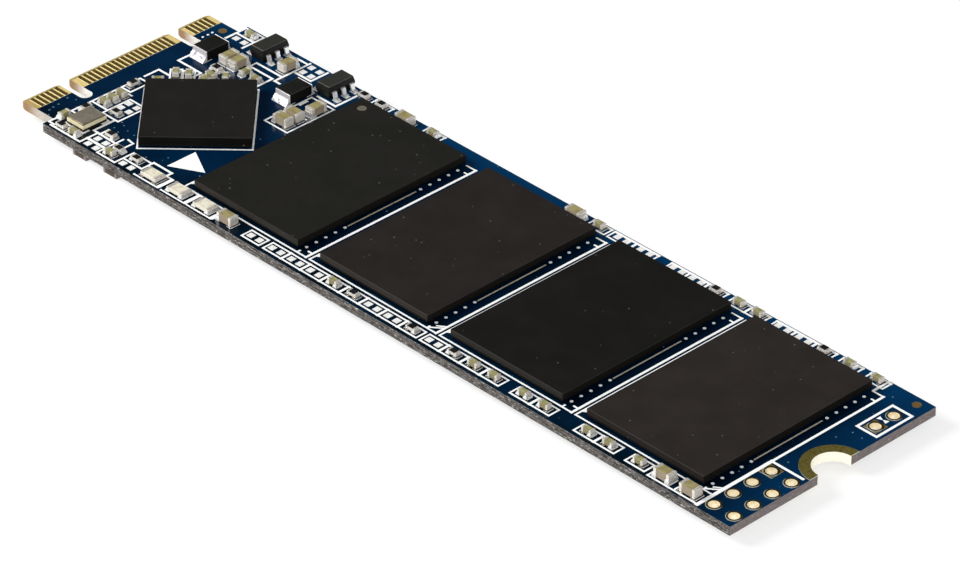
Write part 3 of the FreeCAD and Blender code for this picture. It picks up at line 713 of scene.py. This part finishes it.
@dataclass(frozen=True)
class Moulding(Finish):
    """Moulded or fired surface with grain, faint cloudiness and a little dust.

    Its upright faces take the side tone, painted light and shade, which shade darkens further as
    painted shade on those that look to the screw end, and glint is the share of glint_colour, a
    painted highlight, on the rounded upper corners.
    """

    colour: Colour
    cloud: Colour
    # Painted light and shade: the tone of the upright faces
    side: Colour
    smooth: float = 0.55
    worn: float = 0.75
    grain: float = 0.05
    depth: float = 0.006
    cloud_size: float = 3.0
    cloud_span: Span = (0.35, 0.7)
    grain_span: Span = (0.5, 0.7)
    grain_share: float = 0.3
    dust: float = 0.2
    dust_colour: Colour = tone(112, 108, 100)
    dust_size: float = 0.5
    dust_width: float = 0.16
    dust_share: float = 0.6
    specular: float = 0.12
    shade: float = 0.0
    end_span: Span = (0.3, 0.7)
    # Painted highlight on the rounded upper corners
    glint: float = 0.12
    glint_colour: Colour = tone(150, 148, 142)
    corner_rise: float = 0.68
    corner_reach: float = 0.26

    def paint(self, coat: Coat) -> None:
        """Mixes the body colour with cloudiness and dust, over a fine grain.

        Args:
            coat: The material in the making.
        """
        clouds = coat.step(coat.clouds(self.cloud_size, detail=4.0), *self.cloud_span)
        grain = coat.effect(Effect.GRAIN, self.grain, Coarse=0.4)["Value"]
        specks = coat.effect(Effect.SPECKS, self.dust_size, Share=self.dust,
                             Width=self.dust_width)["Mask"]
        facing = coat.facing()
        # Painted shade darkens the upright faces that look to the screw end
        side = coat.tint(self.side, BLACK, coat.step(facing[0], *self.end_span), self.shade)
        face = coat.mix(clouds, self.colour, self.cloud)
        # Painted light and shade: upright faces take the side tone
        base = coat.mix(coat.level_faces(), side, face)
        # Painted highlight: glint colour on the rounded upper corners
        corner = coat.math("COMPARE", facing[2], self.corner_rise, self.corner_reach)
        base = coat.tint(base, self.glint_colour, corner, self.glint)
        base = coat.tint(base, self.cloud, coat.step(grain, *self.grain_span), self.grain_share)
        coat.set(Base_Color=coat.tint(base, self.dust_colour, specks, self.dust_share),
                 Specular_IOR_Level=self.specular)
        coat.rough_between(grain, self.smooth, self.worn)
        coat.relief(grain, self.depth, strength=0.8)


@dataclass(frozen=True)
class Ink(Finish):
    """Screen-printed ink, a little uneven and speckled."""

    colour: Colour
    thin: Colour
    patch: float = 0.25
    grain: float = 0.04
    depth: float = 0.004
    full_rough: float = 0.55
    thin_rough: float = 0.75
    specular: float = 0.3

    def paint(self, coat: Coat) -> None:
        """Mixes full and thin ink over a rough surface.

        Args:
            coat: The material in the making.
        """
        thin = coat.effect(Effect.TARNISH, self.patch, Amount=0.42)["Mask"]
        grain = coat.effect(Effect.GRAIN, self.grain, Coarse=0.3)["Value"]
        coat.set(Base_Color=coat.mix(thin, self.colour, self.thin),
                 Specular_IOR_Level=self.specular)
        coat.rough_between(thin, self.full_rough, self.thin_rough)
        coat.relief(grain, self.depth, strength=0.7)


@dataclass(frozen=True)
class ViaFinish(Finish):
    """Small vias, tinned at the far edge and under the mask at the near edge."""

    tin: Colour
    dull: Colour
    covered: Colour = tone(60, 92, 122)
    patch: float = 0.1
    smooth: float = 0.3
    worn: float = 0.5

    def paint(self, coat: Coat) -> None:
        """Paints tin on the far half and covered vias on the near half.

        Args:
            coat: The material in the making.
        """
        dull = coat.effect(Effect.TARNISH, self.patch, Amount=0.42)["Mask"]
        far = coat.math("GREATER_THAN", coat.axes(coat.place)[1], 0.0)
        coat.set(Base_Color=coat.mix(far, self.covered, coat.mix(dull, self.tin, self.dull)))
        coat.rough_between(dull, self.smooth, self.worn)


# Painted light: pale gold on the upright walls of the contacts and the screw land
LIT_GOLD_WALL = tone(255, 252, 234)
SILVER = tone(238, 238, 240)
GOLD = Metal("gold plating", tone(208, 174, 74), tone(168, 132, 46), LIT_GOLD_WALL,
             wall_metallic=0.0, smooth=0.34, worn=0.48, patch=0.5)
LAND = Metal("screw land gold", tone(206, 192, 104), tone(140, 118, 46), LIT_GOLD_WALL,
             wall_metallic=0.6, smooth=0.45, worn=0.6, patch=0.3, amount=0.46, depth=0.02)
COPPER = Metal("bare copper disc", tone(206, 174, 116), tone(156, 124, 74), tone(150, 116, 66),
               smooth=0.5, worn=0.65, patch=0.3)
BALL_LINE = Ink("tinned ball line", tone(192, 184, 162), tone(148, 138, 114))
PAD = Metal("tinned pad", tone(255, 255, 252), tone(230, 230, 226), SILVER, metallic=0.1,
            smooth=0.35, worn=0.55, patch=0.25)
SOLDER = Metal("reflowed solder", tone(240, 240, 238), tone(150, 148, 142), tone(228, 228, 226),
               metallic=0.8, wall_metallic=0.7, smooth=0.16, worn=0.4, patch=0.22, depth=0.02)
CORE_SOLDER = Metal("inductor solder", tone(214, 213, 220), tone(122, 120, 126),
                    tone(188, 187, 194), metallic=0.3, wall_metallic=0.1, smooth=0.45, worn=0.6,
                    patch=0.35, amount=0.46, depth=0.03)
CHIP_END = Metal("chip end", tone(230, 226, 218), tone(184, 176, 162), tone(236, 230, 220),
                 metallic=0.45, wall_metallic=0.45, smooth=0.3, worn=0.55, patch=0.22, depth=0.015)
# Painted shade: a darker copy of the chip ends for those under the board
SHADED_UNDER_END = Metal("underside chip end", tone(158, 150, 146), tone(112, 102, 98),
                  tone(132, 122, 118), metallic=0.2, wall_metallic=0.1, smooth=0.4, worn=0.6,
                  patch=0.2, depth=0.02)
LEAD = Metal("lead tin", tone(248, 248, 248), tone(196, 196, 196), SILVER, metallic=0.6,
             wall_metallic=0.6, smooth=0.22, worn=0.42, patch=0.25)
CORE_END = Metal("inductor end", tone(226, 224, 226), tone(196, 192, 194), tone(208, 204, 206),
                 metallic=0.4, wall_metallic=0.3, smooth=0.45, worn=0.6, patch=0.3, depth=0.02)
CAN_GOLD = Metal("crystal can gold", tone(248, 232, 172), tone(218, 194, 122),
                 tone(255, 246, 206), smooth=0.25, worn=0.4)
LID = Metal("crystal lid nickel", tone(150, 142, 128), tone(124, 117, 104), tone(158, 150, 136),
            metallic=0.5, smooth=0.45, worn=0.6, patch=0.8)
BOARD = BoardFinish("solder mask and laminate")
PRINT = Ink("white print", tone(255, 255, 253), tone(232, 236, 236))
VIA = ViaFinish("via cap", tone(255, 255, 255), tone(222, 226, 228))
TENTED = Ink("tented via", tone(92, 124, 152), tone(46, 80, 110))
# In each Moulding below, the third tone is painted light and shade on the upright faces
FROST = Moulding("frosted mark", tone(112, 108, 94), tone(78, 74, 64), tone(60, 57, 50),
                 grain=0.09, cloud_size=0.15, dust=0.5, dust_colour=tone(170, 165, 150),
                 dust_size=0.12, dust_width=0.4)
MOULDS = tuple(
    Moulding("package mould %d" % number, *tones, shade=0.75)
    for number, tones in enumerate((
        (tone(24, 24, 20), tone(29, 28, 25), tone(48, 45, 41)),
        (tone(32, 27, 25), tone(37, 32, 30), tone(50, 46, 43)),
        (tone(15, 14, 11), tone(20, 19, 16), tone(44, 42, 38)),
        (tone(37, 32, 29), tone(42, 37, 34), tone(36, 32, 30))), start=1))
CONTROLLER = Moulding("controller mould", tone(24, 21, 19), tone(28, 25, 23), tone(11, 10, 8),
                      dust=0.06)
SUBSTRATE = Moulding("package substrate", tone(12, 14, 12), tone(22, 24, 20), tone(12, 14, 12),
                     smooth=0.5, dust=0.05)
FERRITE = Moulding("inductor ferrite", tone(15, 16, 13), tone(24, 25, 22), tone(10, 11, 9),
                   dust=0.25, dust_size=0.3)
# Painted highlight on its rounded top corners and painted shade on faces to the screw end
REGULATOR = Moulding("regulator mould", tone(38, 38, 35), tone(48, 48, 44), tone(20, 20, 18),
                     smooth=0.4, worn=0.6, dust=0.2, dust_size=0.3, specular=0.2, glint=0.55,
                     shade=0.5)
KHAKI = Moulding("large capacitor ceramic", tone(154, 145, 98), tone(130, 118, 76),
                 tone(160, 146, 126), cloud_size=0.5, grain=0.04,
                 dust_colour=tone(206, 200, 172), dust_size=0.2, specular=0.3)
OLIVE = Moulding("small capacitor ceramic", tone(156, 154, 104), tone(126, 122, 82),
                 tone(142, 134, 98), cloud_size=0.4, grain=0.04,
                 dust_colour=tone(206, 202, 176), dust_size=0.2, specular=0.3)
BROWN = Moulding("underside capacitor ceramic", tone(92, 78, 68), tone(72, 60, 52),
                 tone(84, 70, 62), cloud_size=0.5, specular=0.3)
ALUMINA = Moulding("resistor ceramic", tone(222, 220, 214), tone(200, 198, 192),
                   tone(214, 212, 206), cloud_size=0.5, specular=0.3)
GLAZE = Moulding("resistor glaze", tone(14, 14, 14), tone(28, 28, 28), tone(14, 14, 14),
                 smooth=0.25, worn=0.4, dust=0.1, dust_size=0.3, specular=0.3)
RESIN = Moulding("lamp resin", tone(230, 226, 206), tone(208, 198, 176), tone(238, 232, 216),
                 smooth=0.35, worn=0.5, cloud_size=0.35, grain=0.08, specular=0.3,
                 dust_colour=tone(250, 248, 244), dust=0.4, dust_size=0.2)
CRYSTAL_BASE = Moulding("crystal base ceramic", tone(48, 34, 22), tone(62, 46, 34),
                        tone(42, 30, 20))


def is_sharp(edge: bmesh.types.BMEdge) -> bool:
    """Tells whether an edge between two faces is a real corner."""
    return len(edge.link_faces) == 2 and edge.calc_face_angle(0.0) > SHARP


def add_piece(name: str, shell: bmesh.types.BMesh, finish: Finish, slot: str,
              replaced: Sequence[str] = ()) -> bpy.types.Object:
    """Turns a built shell into a piece that rides with the card.

    Args:
        name: The piece's name.
        shell: The built shell, which is freed.
        finish: Its finish.
        slot: Not used.
        replaced: CAD nodes that it stands for.

    Returns:
        The new object.
    """
    mesh = bpy.data.meshes.new(name)
    shell.to_mesh(mesh)
    shell.free()
    piece = bpy.data.objects.new(name, mesh)
    bpy.context.collection.objects.link(piece)
    mesh.materials.append(finish.material())
    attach(piece, "root")
    if replaced:
        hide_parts(*replaced)
    log.info("piece %s: %d faces, finish %s", name, len(mesh.polygons), finish.name)
    return piece


def merged_copy(node: str) -> bmesh.types.BMesh:
    """Copies a CAD node's mesh, with its loose triangles joined into whole faces.

    Args:
        node: Name of the node.

    Returns:
        The copy.
    """
    shell = bmesh.new()
    shell.from_mesh(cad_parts[node].data)
    bmesh.ops.remove_doubles(shell, verts=shell.verts, dist=WELD)
    bmesh.ops.dissolve_limit(shell, angle_limit=FLAT, verts=shell.verts, edges=shell.edges)
    return shell


def soften(node: str, radius: float, finish: Finish, slot: str,
           segments: int = 3) -> bpy.types.Object:
    """Makes a piece that is a CAD node with its corners rounded.

    Args:
        node: Name of the node, which the piece replaces.
        radius: Radius of the rounding, in millimetres.
        finish: Finish of the piece.
        slot: The record's material slot.
        segments: Steps of each rounding.

    Returns:
        The new piece.
    """
    shell = merged_copy(node)
    corners = [edge for edge in shell.edges if is_sharp(edge)]
    bmesh.ops.bevel(shell, geom=corners, offset=radius * MM, offset_type="OFFSET",
                    segments=segments, profile=0.5, affect="EDGES", material=-1,
                    clamp_overlap=True)
    return add_piece(node + "_finished", shell, finish, slot, [node])


def dress(node: str, finish: Finish) -> None:
    """Gives a CAD node a finish in place of its packed one.

    Args:
        node: Name of the node.
        finish: The finish.
    """
    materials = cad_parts[node].data.materials
    materials.clear()
    materials.append(finish.material())
    log.info("node %s: finish %s", node, finish.name)


def islands(node: str) -> Iterator[list[Vector]]:
    """Gives the corners of each separate solid in a CAD node.

    Args:
        node: Name of the node.

    Yields:
        One list of points for each solid.
    """
    shell = merged_copy(node)
    waiting = set(shell.verts)
    for start in shell.verts:
        if start not in waiting:
            continue
        waiting.remove(start)
        found = [start]
        for vert in found:
            for edge in vert.link_edges:
                other = edge.other_vert(vert)
                if other in waiting:
                    waiting.remove(other)
                    found.append(other)
        yield [vert.co.copy() for vert in found]
    shell.free()


@dataclass(frozen=True)
class Block:
    """An upright box of any turn, read from a solid's corners."""

    middle: Vector
    along: Vector
    across: Vector
    length: float
    width: float
    bottom: float
    top: float

    @staticmethod
    def of(points: Sequence[Vector]) -> "Block":
        """Reads the box that holds these corners.

        Args:
            points: The corners.

        Returns:
            The box.
        """
        bottom = min(point.z for point in points)
        top = max(point.z for point in points)
        floor = [point for point in points if point.z < bottom + WELD]
        middle = sum(floor, Vector()) / len(floor)
        spread = sorted(floor[1:], key=lambda point: (point - floor[0]).length)
        first, second = spread[0] - floor[0], spread[1] - floor[0]
        return Block(middle, first.normalized(), second.normalized(), first.length,
                     second.length, bottom, top)

    def frame(self) -> Matrix:
        """Gives the turn and place of the box's foot.

        Returns:
            The matrix.
        """
        turn = Matrix((self.along, self.across, self.along.cross(self.across))).transposed()
        seat = Matrix.Translation((self.middle.x, self.middle.y, self.bottom))
        return seat @ turn.to_4x4()


@dataclass(frozen=True)
class Fillets:
    """Solder that climbs the metal ends of chips."""

    ends: str
    name: str
    spread: float = 0.09
    rise: float = 0.5
    cling: float = 0.012

    def build(self) -> bpy.types.Object:
        """Makes a sloped collar of solder round the foot of every chip end.

        Returns:
            The piece.
        """
        shell = bmesh.new()
        for points in islands(self.ends):
            block = Block.of(points)
            height = (block.top - block.bottom) * self.rise
            foot = (block.length + 2 * self.spread * MM, block.width + 2 * self.spread * MM)
            head = (block.length + 2 * self.cling * MM, block.width + 2 * self.cling * MM)
            made = bmesh.ops.create_cube(shell, size=1.0,
                                         matrix=Matrix.Translation((0.0, 0.0, 0.5)))["verts"]
            upper = [vert for vert in made if vert.co.z > 0.5]
            bmesh.ops.scale(shell, vec=(head[0] / foot[0], head[1] / foot[1], 1.0), verts=upper)
            bmesh.ops.scale(shell, vec=(*foot, height), verts=made)
            bmesh.ops.transform(shell, matrix=block.frame(), verts=made)
        bmesh.ops.recalc_face_normals(shell, faces=shell.faces)
        return add_piece(self.name, shell, SOLDER, "solder")


@dataclass
class CircuitBoard:
    """The card with its plating, pads and print.

    The vias that the mask covers are placed from the tip and from the near edge.
    """

    edge_radius: float = 0.03
    eyelet_radius: float = 0.64
    via_radius: float = 0.07
    via_slope: float = 0.7
    via_height: float = 0.012
    via_sides: int = 12
    tented: tuple[Place, ...] = (
        (8.25, 4.68), (8.73, 4.47), (8.43, 3.71), (9.53, 4.17), (10.4, 4.09), (9.14, 3.49),
        (3.32, 1.2), (3.05, 4.3), (78.0, 15.1), (77.56, 13.78), (78.98, 15.04), (77.35, 8.9))

    def make(self) -> None:
        """Rounds the board's corners and dresses all that lies on it."""
        soften("circuit_board", self.edge_radius, BOARD, "solder_mask", segments=1)
        for node in ("edge_contacts_top", "edge_contacts_bottom"):
            dress(node, GOLD)
        for kind in ("header", "jumper"):
            node = "board_%s_eyelets" % kind
            low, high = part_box(node)
            first = (high.x / MM - self.eyelet_radius, low.y / MM + self.eyelet_radius)
            dress(node, EyeletFinish(kind + " eyelets", first))
        dress("board_screw_land", LAND)
        dress("fiducial_discs", COPPER)
        dress("ball_row_lines", BALL_LINE)
        dress("via_caps", VIA)
        for node in ("solder_pads_top", "solder_pads_bottom"):
            dress(node, PAD)
        for node in ("silkscreen_top", "silkscreen_bottom"):
            dress(node, PRINT)
        self.make_tented_vias()

    def make_tented_vias(self) -> None:
        """Raises the small domes of vias that the mask covers."""
        shell = bmesh.new()
        low = cad_box[0]
        radius, height = self.via_radius * MM, self.via_height * MM
        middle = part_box("silkscreen_top")[0].z + height / 2.0
        for along, across in self.tented:
            seat = Vector((low[0] + along * MM, low[1] + across * MM, middle))
            bmesh.ops.create_cone(shell, cap_ends=True, segments=self.via_sides, radius1=radius,
                                  radius2=radius * self.via_slope, depth=height,
                                  matrix=Matrix.Translation(seat))
        add_piece("tented_vias", shell, TENTED, "solder_mask")


@dataclass
class Packages:
    """The four memory packages and the controller."""

    edge_radius: float = 0.05
    mark_radius: float = 0.39
    mark_inset: float = 1.15
    mark_depth: float = 0.04
    mark_thickness: float = 0.01
    mark_sides: int = 32

    def make(self) -> None:
        """Rounds the moulds and dresses substrates and balls."""
        for number, finish in enumerate(MOULDS, start=1):
            soften("flash_mould_%d" % number, self.edge_radius, finish, "package_mould")
            dress("flash_substrate_%d" % number, SUBSTRATE)
        soften("controller_mould", self.edge_radius, CONTROLLER, "package_mould")
        dress("controller_substrate", SUBSTRATE)
        for node in ("flash_balls", "controller_balls"):
            dress(node, SOLDER)
        self.make_mark()

    def make_mark(self) -> None:
        """Lays a frosted disc in the round dimple of the first package."""
        low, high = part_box("flash_mould_1")
        radius, inset = self.mark_radius * MM, self.mark_inset * MM
        thickness = self.mark_thickness * MM
        middle = high.z - self.mark_depth * MM + thickness / 2.0
        seat = Vector((low.x + inset, high.y - inset, middle))
        shell = bmesh.new()
        bmesh.ops.create_cone(shell, cap_ends=True, segments=self.mark_sides, radius1=radius,
                              radius2=radius, depth=thickness, matrix=Matrix.Translation(seat))
        add_piece("first_pin_mark", shell, FROST, "package_mould")


@dataclass
class PowerParts:
    """Regulators, inductors and the crystal, each with the radius of its rounded corners."""

    regulator_radius: float = 0.04
    lead_radius: float = 0.03
    core_radius: float = 0.06
    core_end_radius: float = 0.02
    base_radius: float = 0.04
    can_radius: float = 0.05
    lid_radius: float = 0.02

    def make(self) -> None:
        """Rounds and dresses each of them."""
        for number in (1, 2):
            soften("regulator_body_%d" % number, self.regulator_radius, REGULATOR,
                   "regulator_mould", segments=2)
            soften("regulator_leads_%d" % number, self.lead_radius, LEAD, "lead_metal",
                   segments=2)
            soften("inductor_core_%d" % number, self.core_radius, FERRITE, "inductor_ferrite",
                   segments=2)
        soften("inductor_ends", self.core_end_radius, CORE_END, "chip_end_metal", segments=1)
        dress("inductor_solder", CORE_SOLDER)
        soften("crystal_base", self.base_radius, CRYSTAL_BASE, "crystal_ceramic", segments=2)
        soften("crystal_can", self.can_radius, CAN_GOLD, "crystal_gold", segments=2)
        soften("crystal_lid", self.lid_radius, LID, "crystal_lid_metal", segments=1)


@dataclass
class Chips:
    """Capacitors, resistors and lamps, with the solder at their ends."""

    end_radius: float = 0.06
    body_radius: float = 0.025

    def make(self) -> None:
        """Rounds bodies and ends, and adds solder round each end on the top face."""
        bodies = {"large_capacitor_bodies": (KHAKI, "large_capacitor_ceramic"),
                  "small_capacitor_bodies": (OLIVE, "small_capacitor_ceramic"),
                  "resistor_bodies": (ALUMINA, "resistor_ceramic"),
                  "lamp_bodies": (RESIN, "lamp_resin"),
                  "underside_capacitor_bodies": (BROWN, "underside_capacitor_ceramic")}
        for node, (finish, slot) in bodies.items():
            soften(node, self.body_radius, finish, slot, segments=1)
        dress("resistor_coats", GLAZE)
        for kind in ("large_capacitor", "small_capacitor", "resistor", "lamp"):
            soften(kind + "_ends", self.end_radius, CHIP_END, "chip_end_metal", segments=2)
            Fillets(kind + "_ends", kind + "_fillets").build()
        soften("underside_capacitor_ends", self.end_radius, SHADED_UNDER_END, "chip_end_metal",
               segments=2)


@dataclass(frozen=True)
class Lamp:
    """A square lamp that looks at the card, with its place and size in metres."""

    name: str
    place: Point
    size: float
    watts: float

    def hang(self) -> None:
        """Adds the lamp to the scene."""
        panel = bpy.data.lights.new(self.name, "AREA")
        panel.shape = "SQUARE"
        panel.size = self.size
        panel.energy = self.watts
        holder = bpy.data.objects.new(self.name, panel)
        bpy.context.collection.objects.link(holder)
        holder.location = self.place
        holder.rotation_euler = Vector(self.place).to_track_quat("Z", "Y").to_euler()


@dataclass
class Studio:
    """Pale floor, soft lamps and the sky that they stand in."""

    floor_size: float = 1.6
    floor_colour: Colour = (0.34, 0.34, 0.34)
    floor_glow: float = 0.68
    floor_mirror: float = 1.0
    sky: float = 0.3
    ceiling: float = 0.04
    ceiling_rise: Span = (0.1, 0.4)
    lamps: tuple[Lamp, ...] = (Lamp("key", (-0.38, -0.32, 0.38), size=0.28, watts=3.7),
                               Lamp("fill", (0.42, -0.32, 0.36), size=0.3, watts=2.0))

    def make(self) -> None:
        """Builds floor, sky and lamps."""
        self.make_floor()
        self.make_sky()
        for lamp in self.lamps:
            lamp.hang()

    def make_floor(self) -> None:
        """Lays a floor that the camera sees as white, with the card's shadow on it."""
        shell = bmesh.new()
        bmesh.ops.create_grid(shell, x_segments=1, y_segments=1, size=self.floor_size / 2.0)
        mesh = bpy.data.meshes.new("floor")
        shell.to_mesh(mesh)
        shell.free()
        floor = bpy.data.objects.new("floor", mesh)
        bpy.context.collection.objects.link(floor)
        coat = Coat("pale floor")
        coat.set(Base_Color=self.floor_colour, Roughness=1.0, Specular_IOR_Level=0.0)
        direct, mirrored = coat.rays()
        glow = coat.math("MAXIMUM", coat.math("MULTIPLY", direct, self.floor_glow),
                         coat.math("MULTIPLY", mirrored, self.floor_mirror))
        coat.set(Emission_Color=WHITE, Emission_Strength=glow)
        mesh.materials.append(coat.material)

    def make_sky(self) -> None:
        """Sets a plain soft sky, white to the camera, with a dark ceiling in mirrored rays."""
        world = bpy.data.worlds.new("studio")
        bpy.context.scene.world = world
        world.use_nodes = True
        tree = Tree(world.node_tree)
        direct, mirrored = tree.rays()
        rise = tree.add("SeparateXYZ", {0: tree.add("TexCoord").outputs["Generated"]}).outputs[2]
        wall = tree.math("SUBTRACT", 1.0, tree.step(rise, *self.ceiling_rise))
        mirror = tree.math("MAXIMUM", wall, self.ceiling)
        level = tree.math("MULTIPLY_ADD", tree.math("SUBTRACT", mirror, self.sky), mirrored,
                          self.sky)
        background = world.node_tree.nodes["Background"]
        tree.feed(background.inputs["Color"], WHITE)
        tree.feed(background.inputs["Strength"], tree.math("MAXIMUM", level, direct))


@dataclass
class PhotoCamera:
    """The photograph's viewing angle, found from the card's corners.

    Angles are in degrees, the aim and the distance in millimetres.
    """

    aim: Point = (4.67, -1.75, 1.59)
    azimuth: float = 45.78
    elevation: float = 33.245
    roll: float = 0.375
    distance: float = 420.77
    lens: float = 206.49
    sensor: float = 36.0
    clip_start: float = 10.0

    def make(self) -> None:
        """Places the camera and makes it the scene's own."""
        azimuth, elevation = math.radians(self.azimuth), math.radians(self.elevation)
        forward = Vector((-math.sin(azimuth) * math.cos(elevation),
                          math.cos(azimuth) * math.cos(elevation), -math.sin(elevation)))
        level = forward.cross(Vector((0, 0, 1))).normalized()
        right = Matrix.Rotation(-math.radians(self.roll), 3, forward) @ level
        up = right.cross(forward)
        turn = Matrix((right, up, -forward)).transposed().to_4x4()
        place = Vector(self.aim) * MM - forward * self.distance * MM
        lens = bpy.data.cameras.new("photo camera")
        lens.lens = self.lens
        lens.sensor_width = self.sensor
        lens.clip_start = self.clip_start * MM
        camera = bpy.data.objects.new("photo camera", lens)
        bpy.context.collection.objects.link(camera)
        camera.matrix_world = Matrix.Translation(place) @ turn
        bpy.context.scene.camera = camera


def main() -> None:
    """Builds every sub-assembly in order, then the studio."""
    logging.basicConfig(level=logging.INFO, format="%(message)s")
    for part in (CircuitBoard(), Packages(), PowerParts(), Chips(), Studio(), PhotoCamera()):
        log.info("building %s", type(part).__name__)
        part.make()
    bpy.context.scene.view_settings.view_transform = "Standard"


if __name__ == "__main__":
    main()
